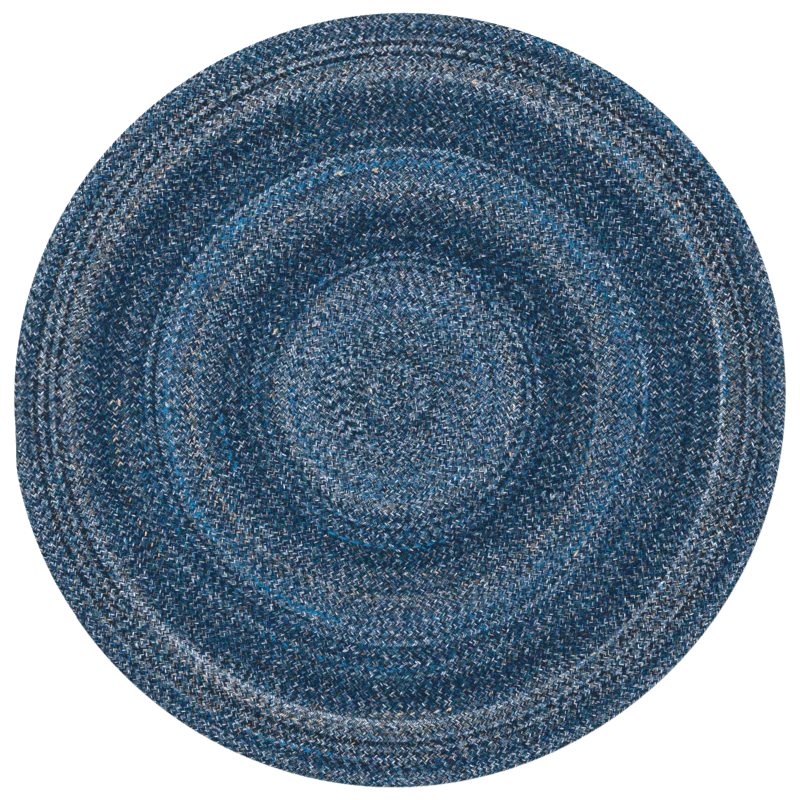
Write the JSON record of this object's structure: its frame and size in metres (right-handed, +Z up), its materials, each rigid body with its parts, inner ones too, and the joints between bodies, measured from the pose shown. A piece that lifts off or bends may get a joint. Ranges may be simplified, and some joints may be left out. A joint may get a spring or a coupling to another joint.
{
  "type": "round braided rug",
  "caption": "Round flat rug of narrow braids coiled and sewn edge to edge, in heathered blue yarns with soft tonal rings and a rounded rim; lies flat on a floor.",
  "frame": {"origin": "on the floor, under the middle of the rug's bounding box", "axes": "+Z up through the rug's thickness; +X to the right and +Y away from the viewer in the plan view; the outermost braid ends near -X"},
  "size_m": [1.8238, 1.831, 0.008],
  "materials": {
    "braided_yarn": "matte heathered yarn, plaited and sewn in rows"
  },
  "bodies": {
    "root": {"braided_rug": "braided_yarn"}
  },
  "joints": []
}
